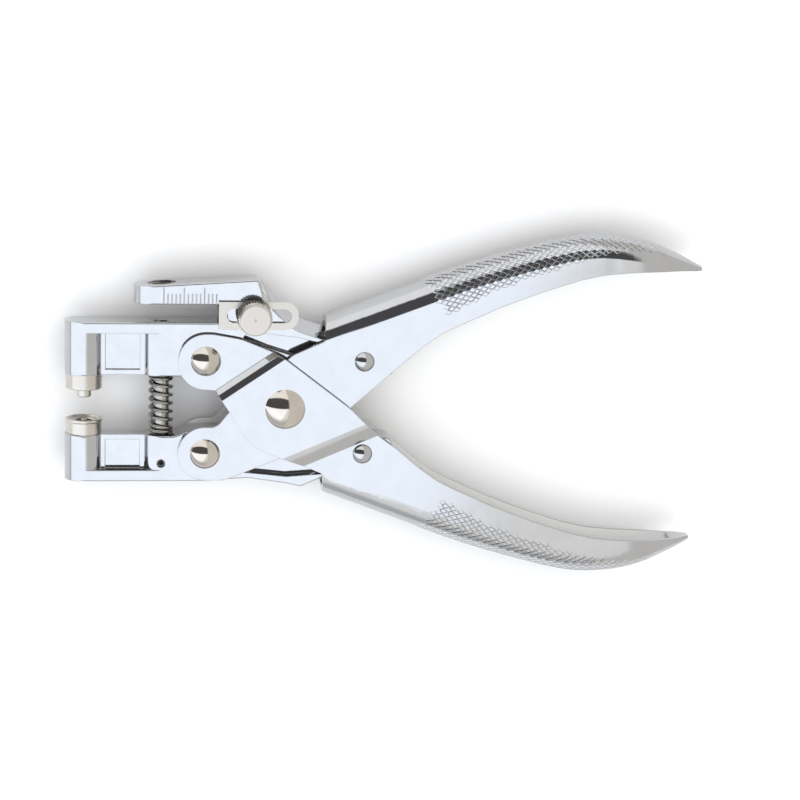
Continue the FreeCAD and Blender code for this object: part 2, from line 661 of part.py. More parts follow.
def step_outline(high, low, bend, behind):
    """Hollow of the raised cheeks on the plane across a joggle, and what lies over its ramp."""
    inner = dim("channel_half") - dim("sheet_wall")
    raised_inner = dim("raised_half") - dim("sheet_wall")
    outer = dim("channel_half")
    raised = dim("raised_half")
    hollow = [(low, inner), (high, raised_inner), (-behind, raised_inner),
              (-behind, -raised_inner), (high, -raised_inner), (low, -inner)]
    past = low + 0.5
    clear = raised + 1.0
    crest = (high - bend / 2, raised + 0.01)
    over = [(low, outer), (high, raised, bend), crest, (crest[0], clear), (past, clear), (past, outer)]
    return hollow, over


def cut_step(body, name):
    """Forms one joggle between the raised cheeks and the low ones."""
    angle, high, low, bend = (dim(f"{name}_step_{key}") for key in ("angle", "high", "low", "round"))
    hollow, over = step_outline(high, low, bend, 5.0)
    sketch = new_sketch(body, f"{name}_step_sketch", "XZ_Plane", turn=angle)
    draw(sketch, hollow)
    draw(sketch, over)
    draw(sketch, mirrored(over))
    extrude(body, "Pocket", f"{name}_step", sketch, "dims.step_width")


def step_point(name, edge, x):
    """The point of a joggle's low or raised edge line at a given x."""
    angle = math.radians(dim(f"{name}_step_angle"))
    distance = dim(f"{name}_step_{edge}")
    return (x, (distance - x * math.cos(angle)) / math.sin(angle))


def make_lower_handle():
    """The outer handle: cheeks raised over the inner handle at the pivot, low at both ends."""
    body = new_body("lower_handle")
    front = [step_point("rear", "low", 23.6), step_point("rear", "low", 5.0), (9.8, -17.0, 1.0)]
    make_channel(body, front)

    lobe = dim("lobe_round")
    left = -dim("reach") - lobe
    high = dim("rise") + lobe
    low = dim("rise") - lobe
    sketch = new_sketch(body, "lobe_sketch")
    draw(sketch, [step_point("front", "low", -17.4), step_point("front", "low", -3.1),
                  (-11.0, 17.4, 12.0), (-18.0, high, 6.0), (left, high, lobe), (left, low, lobe)])
    extrude(body, "Pad", "lobe", sketch, "2 * dims.channel_half")
    sketch = new_sketch(body, "lobe_hollow_sketch")
    draw(sketch, [step_point("front", "low", -40.0), step_point("front", "low", 10.0),
                  (10.0, 40.0), (-40.0, 40.0)])
    extrude(body, "Pocket", "lobe_hollow", sketch, "2 * (dims.channel_half - dims.sheet_wall)")

    sketch = new_sketch(body, "raised_sketch")
    draw(sketch, [step_point("front", "low", -17.4), (-13.6, -1.2, 8.0), (-8.6, -9.6, 12.0),
                  step_point("rear", "low", 5.0), step_point("rear", "low", 23.6),
                  (16.4, 0.1, 20.0), (0.2, 12.4, 2.0), step_point("front", "low", -3.1)])
    extrude(body, "Pad", "raised_cheeks", sketch, "2 * dims.raised_half")
    for name in ("front", "rear"):
        cut_step(body, name)
    drill_cheeks(body, "-", "0", "")
    return body


# ---- rivets and turned pieces ------------------------------------------------------------------

def revolve_profile(name, points, role="XY_Plane", x="0", y="0", z="0"):
    """A turned piece: the profile's first coordinate is the radius, its second the axis."""
    body = new_body(name, x, y, z)
    sketch = new_sketch(body, f"{name}_profile", role)
    draw(sketch, points)
    revolve(body, "Revolution", f"{name}_turned", sketch)
    return body


def make_rivet(name, kind, grip, x, y):
    """A rivet with a low dome on both ends; grip is the half length between its heads."""
    shaft = dim(f"{kind}_shaft_r")
    head = dim(f"{kind}_head_r")
    dome = dim(f"{kind}_dome")
    sphere = (head ** 2 + dome ** 2) / (2 * dome)
    half_angle = math.asin(head / sphere) / 2
    reach = sphere * math.sin(half_angle)
    height = grip + dome - sphere * (1 - math.cos(half_angle))
    top = grip + dome
    body = new_body(name, x, y)
    sketch = new_sketch(body, f"{name}_profile", "XZ_Plane")
    add_edges(sketch, [
        Part.Arc(Vec(0, -top, 0), Vec(reach, -height, 0), Vec(head, -grip, 0)),
        Part.LineSegment(Vec(head, -grip, 0), Vec(shaft, -grip, 0)),
        Part.LineSegment(Vec(shaft, -grip, 0), Vec(shaft, grip, 0)),
        Part.LineSegment(Vec(shaft, grip, 0), Vec(head, grip, 0)),
        Part.Arc(Vec(head, grip, 0), Vec(reach, height, 0), Vec(0, top, 0)),
        Part.LineSegment(Vec(0, top, 0), Vec(0, -top, 0)),
    ])
    revolve(body, "Revolution", f"{name}_turned", sketch)
    return body


def make_rivets():
    """The main rivet, the two jaw rivets and the two slide rivets."""
    cheek = dim("channel_half")
    make_rivet("main_rivet", "main", dim("raised_half"), "0", "0")
    make_rivet("upper_jaw_rivet", "jaw", cheek, "-dims.reach", "dims.rise")
    make_rivet("lower_jaw_rivet", "jaw", cheek, "-dims.reach", "-dims.rise")
    make_rivet("upper_slide_rivet", "slide", cheek, "dims.reach", "dims.rise")
    make_rivet("lower_slide_rivet", "slide", cheek, "dims.reach", "-dims.rise")


def make_spacer():
    """The sleeve on the main rivet that keeps the inner handle's cheeks apart."""
    half = dim("spacer_length") / 2
    bore = dim("main_shaft_r") + dim("run_gap")
    outer = dim("spacer_r")
    wall = [(bore, -half), (outer, -half), (outer, half), (bore, half)]
    revolve_profile("pivot_spacer", wall, "XZ_Plane")


def make_punch_rod():
    """The rod that punches: pinned in the lower jaw, guided in the upper jaw."""
    radius = dim("rod_r")
    body = revolve_profile("punch_rod", [(0, -dim("rod_foot")), (radius, -dim("rod_foot")),
                                         (radius, dim("rod_top")), (0, dim("rod_top"))],
                           x="-dims.punch_x")
    drill(body, "pin_hole", "dims.cross_r", "dims.cross_length", "0", "-dims.cross_y")


def make_roll_pin():
    """The slit spring pin through the lower jaw and the rod's foot."""
    body = new_body("roll_pin", "-dims.punch_x", "-dims.cross_y")
    outer = dim("cross_r")
    inner = dim("cross_bore")
    gap = 0.25
    lip_out = math.sqrt(outer ** 2 - gap ** 2)
    lip_in = math.sqrt(inner ** 2 - gap ** 2)
    sketch = new_sketch(body, "pin_sketch")
    add_edges(sketch, [
        Part.Arc(Vec(gap, lip_out, 0), Vec(0, -outer, 0), Vec(-gap, lip_out, 0)),
        Part.LineSegment(Vec(-gap, lip_out, 0), Vec(-gap, lip_in, 0)),
        Part.Arc(Vec(-gap, lip_in, 0), Vec(0, -inner, 0), Vec(gap, lip_in, 0)),
        Part.LineSegment(Vec(gap, lip_in, 0), Vec(gap, lip_out, 0)),
    ])
    extrude(body, "Pad", "pin", sketch, "dims.cross_length")


def make_spring():
    """The coil spring round the rod that opens the jaws."""
    body = new_body("return_spring", "-dims.punch_x", "0")
    length = 2 * (dim("jaw_inner") - dim("wire_r") - dim("face_gap"))
    sketch = new_sketch(body, "wire_sketch")
    draw_circle(sketch, "dims.wire_r", "dims.coil_r", "-(dims.jaw_inner - dims.wire_r - dims.face_gap)")
    coil = body.newObject("PartDesign::AdditiveHelix", "coil")
    coil.Profile = sketch
    coil.ReferenceAxis = (sketch, ["V_Axis"])
    coil.Mode = "pitch-height-angle"
    coil.setExpression("Pitch", "dims.coil_pitch")
    coil.Height = length
    settle(body, coil, cuts=False)


def make_dies():
    """The eyelet-setting dies and the bush that the punch rod enters."""
    face = dim("jaw_inner")
    shank = dim("shank_r")
    deep = face + dim("shank_length")
    end = face - dim("die_rise")
    tip = end - dim("tip_length")
    radius = dim("upper_die_r")
    revolve_profile("upper_die", [
        (0, tip + dim("tip_length")), (dim("tip_bore_r"), tip + dim("tip_length")),
        (dim("tip_bore_r"), tip), (dim("tip_r"), tip, 0.45), (dim("tip_r"), end), (radius, end, 0.35),
        (radius, face), (shank, face), (shank, deep), (0, deep)], x="-dims.die_x")

    radius = dim("lower_die_r")
    rim = dim("rim_r")
    cup = dim("cup_r")
    floor = -end - dim("cup_depth")
    boss = dim("boss_r")
    revolve_profile("lower_die", [
        (0, -deep), (shank, -deep), (shank, -face), (radius, -face), (radius, -end - 0.9),
        (rim, -end - 0.6), (rim, -end, 0.15), (rim - 0.7, -end, 0.2), (rim - 1.0, -end - 0.45, 0.3),
        (cup + 0.35, -end - 0.45, 0.15), (cup, -end - 0.8), (cup, floor), (boss, floor),
        (boss, -end - 0.35, 0.2), (0, -end - 0.35)], x="-dims.die_x")

    low = dim("arm_bottom")
    bore = dim("rod_r") + dim("run_gap")
    revolve_profile("die_bush", [
        (bore, low), (dim("bush_r"), low), (dim("bush_r"), low + dim("bush_length")),
        (dim("bush_relief_r"), low + dim("bush_length")), (dim("bush_relief_r"), low + dim("bush_land")),
        (bore, low + dim("bush_land"))], x="-dims.punch_x")


# ---- adjustable stop ---------------------------------------------------------------------------

def make_gauge():
    """The slotted stop plate with a flange that reaches through the material slot."""
    body = new_body("gauge_stop")
    left = -dim("gauge_left")
    right = left + dim("gauge_length")
    low = dim("gauge_low")
    high = low + dim("gauge_height")
    near = f"(dims.jaw_half + dims.face_gap + dims.gauge_sheet / 2)"
    sketch = new_sketch(body, "plate_sketch", offset=near)
    draw(sketch, [(left, low), (right, low, 3.2), (right, high, 3.2), (left, high)])
    extrude(body, "Pad", "plate", sketch, "dims.gauge_sheet")
    flange_low = dim("flange_low")
    flange_high = flange_low + dim("flange_height")
    bend = left + dim("gauge_sheet")
    sketch = new_sketch(body, "flange_sketch",
                        offset="(dims.face_gap + dims.flange_short) / 2 + dims.gauge_sheet / 4")
    draw(sketch, [(left, flange_low), (bend, flange_low), (bend, flange_high), (left, flange_high)])
    extrude(body, "Pad", "flange", sketch,
            "2 * dims.jaw_half + dims.face_gap - dims.flange_short + dims.gauge_sheet / 2")
    slot_left = -dim("gauge_slot_left")
    slot_right = slot_left + dim("gauge_slot_length")
    half = dim("gauge_slot") / 2
    middle = dim("screw_y")
    sketch = new_sketch(body, "slot_sketch", offset=near)
    first = slot_left + half
    last = slot_right - half
    top = middle + half
    bottom = middle - half
    add_edges(sketch, [
        Part.LineSegment(Vec(first, top, 0), Vec(last, top, 0)),
        Part.Arc(Vec(last, top, 0), Vec(slot_right, middle, 0), Vec(last, bottom, 0)),
        Part.LineSegment(Vec(last, bottom, 0), Vec(first, bottom, 0)),
        Part.Arc(Vec(first, bottom, 0), Vec(slot_left, middle, 0), Vec(first, top, 0)),
    ])
    extrude(body, "Pocket", "screw_slot", sketch, "dims.gauge_sheet * 2")


def make_thumbscrew():
    """The knurled screw that clamps the stop plate against the upper jaw."""
    seat = "dims.jaw_half + dims.gauge_sheet + 2 * dims.face_gap"
    body = new_body("thumbscrew", "-dims.screw_x", "dims.screw_y", seat)
    sketch = new_sketch(body, "knurl_sketch", offset="dims.knurl_length / 2")
    teeth = int(dim("knurl_teeth"))
    crest = dim("knurl_r")
    valley = crest - dim("knurl_depth")
    points = []
    for tooth in range(teeth):
        for share, radius in ((0.0, crest), (0.5, valley)):
            angle = 2 * math.pi * (tooth + share) / teeth
            points.append((radius * math.cos(angle), radius * math.sin(angle)))
    draw(sketch, points)
    extrude(body, "Pad", "knurl", sketch, "dims.knurl_length")

    length = dim("knurl_length")
    sketch = new_sketch(body, "chamfer_sketch", "XZ_Plane")
    draw(sketch, [(crest - 0.45, length + 0.01), (crest + 1, length + 0.01), (crest + 1, length - 1.0)])
    revolve(body, "Groove", "chamfer", sketch)
    shank = dim("screw_r")
    foot = -2 * dim("jaw_half")
    cap = dim("cap_r")
    top = length + dim("cap_length")
    sketch = new_sketch(body, "turned_sketch", "XZ_Plane")
    draw(sketch, [(0, foot), (shank, foot, 0.4), (shank, 0.5), (cap - 0.3, 0.5), (cap - 0.3, length),
                  (cap, length + 0.25), (cap, top, 0.3), (0.35, top), (0, top - 0.2)])
    revolve(body, "Revolution", "turned", sketch)


# ---- build and write ---------------------------------------------------------------------------

def nodes():
    """The bodies that are pieces of the pliers."""
    return [body for body in doc.findObjects("PartDesign::Body") if body.Name not in TOOLS]


def check_document():
    """Stops if any object failed or any sub-part's shape is missing or unsound."""
    for item in doc.Objects:
        if {"Invalid", "Error"} & set(item.State):
            raise RuntimeError(f"{item.Name} is {item.State}")
    for body in nodes():
        if body.Shape.isNull() or not body.Shape.isValid():
            raise RuntimeError(f"{body.Label} has no sound shape")


def write_parts():
    """Writes each sub-part's shape to parts/NODE.step."""
    os.makedirs("parts", exist_ok=True)
    for body in nodes():
        body.Shape.exportStep(os.path.join("parts", f"{body.Label}.step"))
        box = body.Shape.BoundBox
        print(f"{body.Label:18s} solids {len(body.Shape.Solids)} volume {body.Shape.Volume:9.1f} "
              f"x {box.XMin:7.2f} {box.XMax:7.2f} y {box.YMin:7.2f} {box.YMax:7.2f} "
              f"z {box.ZMin:6.2f} {box.ZMax:6.2f}")


fill_sheet()
make_upper_jaw()
make_lower_jaw()
make_upper_handle()
make_lower_handle()
make_rivets()
make_spacer()
make_punch_rod()
make_roll_pin()
make_spring()
make_dies()
make_gauge()
make_thumbscrew()
doc.recompute()
check_document()
write_parts()
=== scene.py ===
"""Chromed parallel-action hole punch and eyelet pliers, lying flat on a pale floor.

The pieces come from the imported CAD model. This script adds the grips' knurl and the return spring's
coil as real geometry, gives every piece its plating and lights them. Lengths are in metres, or in
millimetres where a comment says so.
"""

import math

import bpy
from mathutils import Matrix, Vector
from mathutils.bvhtree import BVHTree


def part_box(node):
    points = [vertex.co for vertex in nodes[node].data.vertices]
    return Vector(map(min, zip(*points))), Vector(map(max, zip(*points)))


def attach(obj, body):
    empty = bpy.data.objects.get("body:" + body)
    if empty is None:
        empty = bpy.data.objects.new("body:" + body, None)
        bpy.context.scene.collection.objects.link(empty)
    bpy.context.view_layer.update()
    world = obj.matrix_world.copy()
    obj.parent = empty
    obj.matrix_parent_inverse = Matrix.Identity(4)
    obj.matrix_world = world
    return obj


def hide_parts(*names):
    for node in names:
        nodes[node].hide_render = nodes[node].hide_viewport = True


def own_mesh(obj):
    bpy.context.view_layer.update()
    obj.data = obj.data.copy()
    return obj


MM = 0.001
PIVOT_X = -25.7 * MM
MIDDLE_Z = 10.2 * MM

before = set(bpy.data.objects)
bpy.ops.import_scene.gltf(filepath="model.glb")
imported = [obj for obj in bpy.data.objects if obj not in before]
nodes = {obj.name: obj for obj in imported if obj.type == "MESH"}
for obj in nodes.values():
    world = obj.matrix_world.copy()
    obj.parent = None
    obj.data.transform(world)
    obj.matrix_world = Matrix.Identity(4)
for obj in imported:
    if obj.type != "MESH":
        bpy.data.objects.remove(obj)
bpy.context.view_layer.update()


# ---- materials ---------------------------------------------------------------------------------

CHROME_DARK = (0.455, 0.46, 0.468)
CASTING_LIGHT = (0.48, 0.485, 0.495)
SHEET_LIGHT = (0.475, 0.48, 0.49)
INSIDE_TONE = (0.72, 0.72, 0.71)
INSIDE_ROUGH = 0.55
EDGE_ROUND = 0.25 * MM
BEVEL_SAMPLES = 6

# Noises in features per metre, and where a noise turns from the dark tone to the light one.
CLOUD_SCALE = 260
GRAIN_SCALE = 2600
TINT_AT = (0.35, 0.65)

# A face looks inward when its height over the middle plane times its normal's Z is under this.
INWARD = -0.001


def new_material(name):
    """A node material and its shader and node tree."""
    material = bpy.data.materials.new(name)
    material.use_nodes = True
    tree = material.node_tree
    return material, tree, tree.nodes["Principled BSDF"]


def add_noise(tree, scale, detail=2.0):
    """A noise over the object's own coordinates, in features per metre."""
    place = tree.nodes.new("ShaderNodeTexCoord")
    noise = tree.nodes.new("ShaderNodeTexNoise")
    noise.inputs["Scale"].default_value = scale
    noise.inputs["Detail"].default_value = detail
    tree.links.new(place.outputs["Object"], noise.inputs["Vector"])
    return noise


def map_range(tree, source, low, high, from_low=0.3, from_high=0.7):
    """Maps a node's first output to the range from low to high."""
    node = tree.nodes.new("ShaderNodeMapRange")
    node.inputs["From Min"].default_value = from_low
    node.inputs["From Max"].default_value = from_high
    node.inputs["To Min"].default_value = low
    node.inputs["To Max"].default_value = high
    tree.links.new(source.outputs[0], node.inputs["Value"])
    return node


def add_bump(tree, shader, source, distance, under=None):
    """A bump from a noise; under is a bump that it lies on."""
    bump = tree.nodes.new("ShaderNodeBump")
    bump.inputs["Strength"].default_value = 1.0
    bump.inputs["Distance"].default_value = distance
    tree.links.new(source.outputs[0], bump.inputs["Height"])
    if under:
        tree.links.new(under.outputs["Normal"], bump.inputs["Normal"])
    tree.links.new(bump.outputs["Normal"], shader.inputs["Normal"])
    return bump


def tint(tree, shader, source, dark, light):
    """Varies the plating's colour between two close tones."""
    ramp = tree.nodes.new("ShaderNodeValToRGB")
    for element, position, tone in zip(ramp.color_ramp.elements, TINT_AT, (dark, light)):
        element.position = position
        element.color = (*tone, 1)
    tree.links.new(source.outputs[0], ramp.inputs["Fac"])
    tree.links.new(ramp.outputs["Color"], shader.inputs["Base Color"])


def soften_edges(tree, bump, radius):
    """Rounds the look of sharp edges under a bump by the given radius."""
    bevel = tree.nodes.new("ShaderNodeBevel")
    bevel.samples = BEVEL_SAMPLES
    bevel.inputs["Radius"].default_value = radius
    tree.links.new(bevel.outputs["Normal"], bump.inputs["Normal"])


def inward_mask(tree):
    """A node that is 1 on the faces that look towards the handles' middle plane and 0 elsewhere."""
    place = tree.nodes.new("ShaderNodeTexCoord")
    point = tree.nodes.new("ShaderNodeSeparateXYZ")
    facing = tree.nodes.new("ShaderNodeSeparateXYZ")
    tree.links.new(place.outputs["Object"], point.inputs[0])
    tree.links.new(place.outputs["Normal"], facing.inputs[0])
    height = tree.nodes.new("ShaderNodeMath")
    height.operation = "SUBTRACT"
    height.inputs[1].default_value = MIDDLE_Z
    tree.links.new(point.outputs["Z"], height.inputs[0])
    outward = tree.nodes.new("ShaderNodeMath")
    outward.operation = "MULTIPLY"
    tree.links.new(height.outputs[0], outward.inputs[0])
    tree.links.new(facing.outputs["Z"], outward.inputs[1])
    inward = tree.nodes.new("ShaderNodeMath")
    inward.operation = "LESS_THAN"
    inward.inputs[1].default_value = INWARD
    tree.links.new(outward.outputs[0], inward.inputs[0])
    return inward


def dull_inside(tree, shader, gloss):
    """Makes the channels' inner faces pale and matt under the polished outside."""
    inward = inward_mask(tree)
    rough = tree.nodes.new("ShaderNodeMix")
    tree.links.new(inward.outputs[0], rough.inputs["Factor"])
    tree.links.new(gloss.outputs["Result"], rough.inputs["A"])
    rough.inputs["B"].default_value = INSIDE_ROUGH
    tree.links.new(rough.outputs["Result"], shader.inputs["Roughness"])
    metallic = map_range(tree, inward, 1.0, 0.0, 0.0, 1.0)
    tree.links.new(metallic.outputs["Result"], shader.inputs["Metallic"])
    plated = shader.inputs["Base Color"].links[0].from_socket
    tone = tree.nodes.new("ShaderNodeMix")
    tone.data_type = "RGBA"
    tree.links.new(inward.outputs[0], tone.inputs["Factor"])
    tree.links.new(plated, tone.inputs[6])
    tone.inputs[7].default_value = (*INSIDE_TONE, 1)
    tree.links.new(tone.outputs[2], shader.inputs["Base Color"])


def plating(name, dark, light, rough, wave, grain, wave_scale=45, edge=0.0, inside=False):
    """Plated metal: close tones, uneven gloss, a slight waviness and a fine polished grain.

    wave and grain are heights in metres. edge rounds the look of edges, and inside dulls the
    inner faces of a channel.
    """
    material, tree, shader = new_material(name)
    shader.inputs["Metallic"].default_value = 1.0
    broad = add_noise(tree, wave_scale)
    fine = add_noise(tree, GRAIN_SCALE, detail=3.0)
    cloud = add_noise(tree, CLOUD_SCALE, detail=4.0)
    tint(tree, shader, cloud, dark, light)
    gloss = map_range(tree, cloud, *rough)
    tree.links.new(gloss.outputs["Result"], shader.inputs["Roughness"])
    first = add_bump(tree, shader, broad, wave)
    if edge:
        soften_edges(tree, first, edge)
    if inside:
        dull_inside(tree, shader, gloss)
    add_bump(tree, shader, fine, grain, under=first)
    return material


def make_materials():
    """One material for each kind of plating."""
    return {
        "casting": plating("chrome_casting", CHROME_DARK, CASTING_LIGHT,
                           (0.05, 0.09), 0.00001, 0.0000008, wave_scale=90, edge=EDGE_ROUND),
        "sheet": plating("chrome_sheet", CHROME_DARK, SHEET_LIGHT,
                         (0.04, 0.08), 0.000012, 0.0000005, wave_scale=40, edge=EDGE_ROUND,
                         inside=True),
        "knurl": plating("knurled_chrome", CHROME_DARK, SHEET_LIGHT,
                         (0.05, 0.09), 0.0, 0.0000005),
        "nickel_bright": plating("nickel_bright", (0.53, 0.49, 0.44), (0.57, 0.535, 0.49),
                                 (0.05, 0.10), 0.0, 0.0000008),
        "nickel_satin": plating("nickel_satin", (0.56, 0.525, 0.475), (0.61, 0.58, 0.53),
                                (0.26, 0.33), 0.00001, 0.0000005),
        "pin_steel": plating("dark_pin_steel", (0.09, 0.09, 0.09), (0.13, 0.125, 0.12),
                             (0.30, 0.42), 0.0, 0.000001),
        "steel": plating("drawn_steel", (0.30, 0.29, 0.27), (0.42, 0.40, 0.375),
                         (0.16, 0.28), 0.00001, 0.000002),
    }


def dress(materials):
    """Gives each CAD node its plating."""
    looks = {
        "casting": ["upper_jaw", "lower_jaw"],
        "sheet": ["upper_handle", "lower_handle", "upper_slide_rivet", "lower_slide_rivet"],
        "nickel_bright": ["main_rivet", "upper_jaw_rivet", "lower_jaw_rivet", "pivot_spacer"],
        "nickel_satin": ["upper_die", "lower_die", "die_bush", "gauge_stop", "thumbscrew"],
        "steel": ["punch_rod"],
        "pin_steel": ["roll_pin"],
    }
    for look, names in looks.items():
        for name in names:
            data = nodes[name].data
            data.materials.clear()
            data.materials.append(materials[look])


# ---- studio ------------------------------------------------------------------------------------

CAMERA_AT = (-74.54 * MM, 128.57 * MM, 624.44 * MM)
CAMERA_BACK = Vector((-0.12437, 0.20212, 0.97143))
CAMERA_ROLL = math.radians(1.584)
SENSOR = 36
FRAME_OVER_FOCUS = 800 / 2489.3

FLOOR_REACH = 4.0
FLOOR_TONE = 0.74
LAMP_SIZE = 1.6
LAMP_POWER = 14.0
LAMP_AT = (0.0, 0.1, 1.1)

# The studio's light by direction, and the edges of its areas. A direction's across is x / z and its
# along is y / z.
OVERHEAD = (1.76, 1.87, 2.03)
BESIDE = (1.28, 1.27, 1.25)
GAP = (0.12, 0.115, 0.12)
BACKDROP = (1.45, 1.45, 1.45)
SIDE = (0.93, 0.91, 0.87)
LOW = (0.76, 0.77, 0.79)
LEAN_OF_OVERHEAD = 0.41
OVERHEAD_END = (0.235, 0.285)
BESIDE_END = (0.35, 1.10)
GAP_START = (-0.10, -0.02)
LEAN_OF_BACKDROP = 0.35
BACKDROP_START = (0.75, 0.95)
LOW_START = (0.9, 2.4)
SIDE_START = (0.27, 0.42)


def make_camera():
    """The camera, looking down at the pliers from the side of the ruler arm."""
    data = bpy.data.cameras.new("camera")
    data.sensor_width = SENSOR
    data.lens = SENSOR / FRAME_OVER_FOCUS
    data.clip_start = 0.01
    data.clip_end = 20
    camera = bpy.data.objects.new("camera", data)
    bpy.context.scene.collection.objects.link(camera)
    right = Vector((0, 1, 0)).cross(CAMERA_BACK).normalized()
    up = CAMERA_BACK.cross(right)
    turned_right = right * math.cos(CAMERA_ROLL) + up * math.sin(CAMERA_ROLL)
    turned_up = up * math.cos(CAMERA_ROLL) - right * math.sin(CAMERA_ROLL)
    axes = Matrix((turned_right, turned_up, CAMERA_BACK)).transposed()
    camera.matrix_world = Matrix.Translation(CAMERA_AT) @ axes.to_4x4()
    bpy.context.scene.camera = camera


def make_floor():
    """A plain pale floor under the pliers."""
    mesh = bpy.data.meshes.new("floor")
    signs = ((-1, -1), (1, -1), (1, 1), (-1, 1))
    corners = [(x * FLOOR_REACH, y * FLOOR_REACH, 0) for x, y in signs]
    mesh.from_pydata(corners, [], [(0, 1, 2, 3)])
    floor = bpy.data.objects.new("floor", mesh)
    bpy.context.scene.collection.objects.link(floor)
    material, _, shader = new_material("floor")
    shader.inputs["Base Color"].default_value = (FLOOR_TONE, FLOOR_TONE, FLOOR_TONE, 1)
    shader.inputs["Roughness"].default_value = 0.9
    shader.inputs["Specular IOR Level"].default_value = 0.1
    mesh.materials.append(material)


def make_lamp():
    """A broad soft lamp over the floor that the plating doesn't mirror."""
    data = bpy.data.lights.new("lamp", "AREA")
    data.shape = "SQUARE"
    data.size = LAMP_SIZE
    data.energy = LAMP_POWER
    lamp = bpy.data.objects.new("lamp", data)
    lamp.location = LAMP_AT
    lamp.visible_glossy = False
    bpy.context.scene.collection.objects.link(lamp)


class World:
    """The studio's light by direction: soft boxes and darker gaps, as a shader over the sky."""

    def __init__(self):
        world = bpy.data.worlds.new("studio")
        world.use_nodes = True
        bpy.context.scene.world = world
        self.tree = world.node_tree
        self.output = self.tree.nodes["Background"]
        place = self.tree.nodes.new("ShaderNodeTexCoord")
        split = self.tree.nodes.new("ShaderNodeSeparateXYZ")
        self.tree.links.new(place.outputs["Generated"], split.inputs[0])
        self.x, self.y, self.z = split.outputs

    def math(self, operation, a, b):
        """A Math node over two sockets or numbers."""
        node = self.tree.nodes.new("ShaderNodeMath")
        node.operation = operation
        for socket, value in zip(node.inputs, (a, b)):
            if isinstance(value, (int, float)):
                socket.default_value = value
            else:
                self.tree.links.new(value, socket)
        return node.outputs[0]

    def step(self, value, low, high):
        """0 below low, 1 above high and smooth between."""
        node = self.tree.nodes.new("ShaderNodeMapRange")
        node.interpolation_type = "SMOOTHSTEP"
        node.inputs["From Min"].default_value = low
        node.inputs["From Max"].default_value = high
        self.tree.links.new(value, node.inputs["Value"])
        return node.outputs["Result"]

    def mix(self, mask, a, b):
        """Colour a where the mask is 0 and b where it is 1."""
        node = self.tree.nodes.new("ShaderNodeMix")
        node.data_type = "RGBA"
        self.tree.links.new(mask, node.inputs["Factor"])
        for socket, value in ((node.inputs[6], a), (node.inputs[7], b)):
            if isinstance(value, tuple):
                socket.default_value = (*value, 1)
            else:
                self.tree.links.new(value, socket)
        return node.outputs[2]


def make_world():
    """Sets the studio's soft boxes and gaps."""
    world = World()
    height = world.math("MAXIMUM", world.z, 0.001)
    across = world.math("DIVIDE", world.x, height)
    along = world.math("DIVIDE", world.y, height)
    lean = world.math("SUBTRACT", across, world.math("MULTIPLY", along, LEAN_OF_OVERHEAD))
    slant = world.math("ADD", along, world.math("MULTIPLY", across, LEAN_OF_BACKDROP))
    toward_user = world.math("MULTIPLY", along, -1.0)
    colour = world.mix(world.step(lean, *OVERHEAD_END), OVERHEAD, BESIDE)
    colour = world.mix(world.step(lean, *BESIDE_END), colour, LOW)
    colour = world.mix(world.step(along, *GAP_START), colour, GAP)
    colour = world.mix(world.step(slant, *BACKDROP_START), colour, BACKDROP)
    colour = world.mix(world.step(toward_user, *LOW_START), colour, LOW)
    colour = world.mix(world.step(across, *SIDE_START), colour, SIDE)
    world.tree.links.new(colour, world.output.inputs["Color"])
    world.output.inputs["Strength"].default_value = 1.0


# ---- return spring -----------------------------------------------------------------------------

SPRING_WIRE = 0.43 * MM
SPRING_TURNS = 8.0
CLOSED_TURNS = 1.0
CLOSED_PITCH = 0.98
SPRING_STEPS = 48
WIRE_SIDES = 14


def add_piece(name, vertices, faces, material, body):
    """A smooth mesh piece that rides on a CAD body."""
    mesh = bpy.data.meshes.new(name)
    mesh.from_pydata([tuple(v) for v in vertices], [], faces)
    mesh.validate()
    mesh.shade_smooth()
    mesh.materials.append(material)
    piece = bpy.data.objects.new(name, mesh)
    bpy.context.scene.collection.objects.link(piece)
    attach(piece, body)
    return piece


def spring_height(turn, bottom, top):
    """The wire's height after a number of turns: close at both ends and open between them."""
    closed_rise = 2 * SPRING_WIRE * CLOSED_PITCH * CLOSED_TURNS
    open_pitch = (top - bottom - 2 * closed_rise) / (SPRING_TURNS - 2 * CLOSED_TURNS)
    if turn < CLOSED_TURNS:
        return bottom + turn / CLOSED_TURNS * closed_rise
    if turn > SPRING_TURNS - CLOSED_TURNS:
        return top - (SPRING_TURNS - turn) / CLOSED_TURNS * closed_rise
    return bottom + closed_rise + (turn - CLOSED_TURNS) * open_pitch


def make_spring(material):
    """The coil round the rod, with a closed end at each jaw."""
    low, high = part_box("return_spring")
    centre = (low + high) / 2
    wire = SPRING_WIRE
    radius = (high.x - low.x) / 2 - wire
    ring = WIRE_SIDES
    total = int(SPRING_TURNS * SPRING_STEPS)

    vertices = []
    for i in range(total + 1):
        turn = i / SPRING_STEPS
        angle = 2 * math.pi * turn
        out = Vector((math.cos(angle), 0, math.sin(angle)))
        height = spring_height(turn, low.y + wire, high.y - wire)
        point = Vector((centre.x, height, centre.z)) + out * radius
        for k in range(ring):
            share = 2 * math.pi * k / ring
            up = Vector((0, wire * math.sin(share), 0))
            vertices.append(point + out * wire * math.cos(share) + up)
    faces = []
    for i in range(total):
        here = i * ring
        after = here + ring
        for k in range(ring):
            beside = (k + 1) % ring
            faces.append((here + k, here + beside, after + beside, after + k))
    faces.append(tuple(range(ring - 1, -1, -1)))
    faces.append(tuple(total * ring + k for k in range(ring)))
    spring = add_piece("spring_coil", vertices, faces, material, "upper_jaw_body")
    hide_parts("return_spring")
    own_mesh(spring)


# ---- knurled grips -----------------------------------------------------------------------------

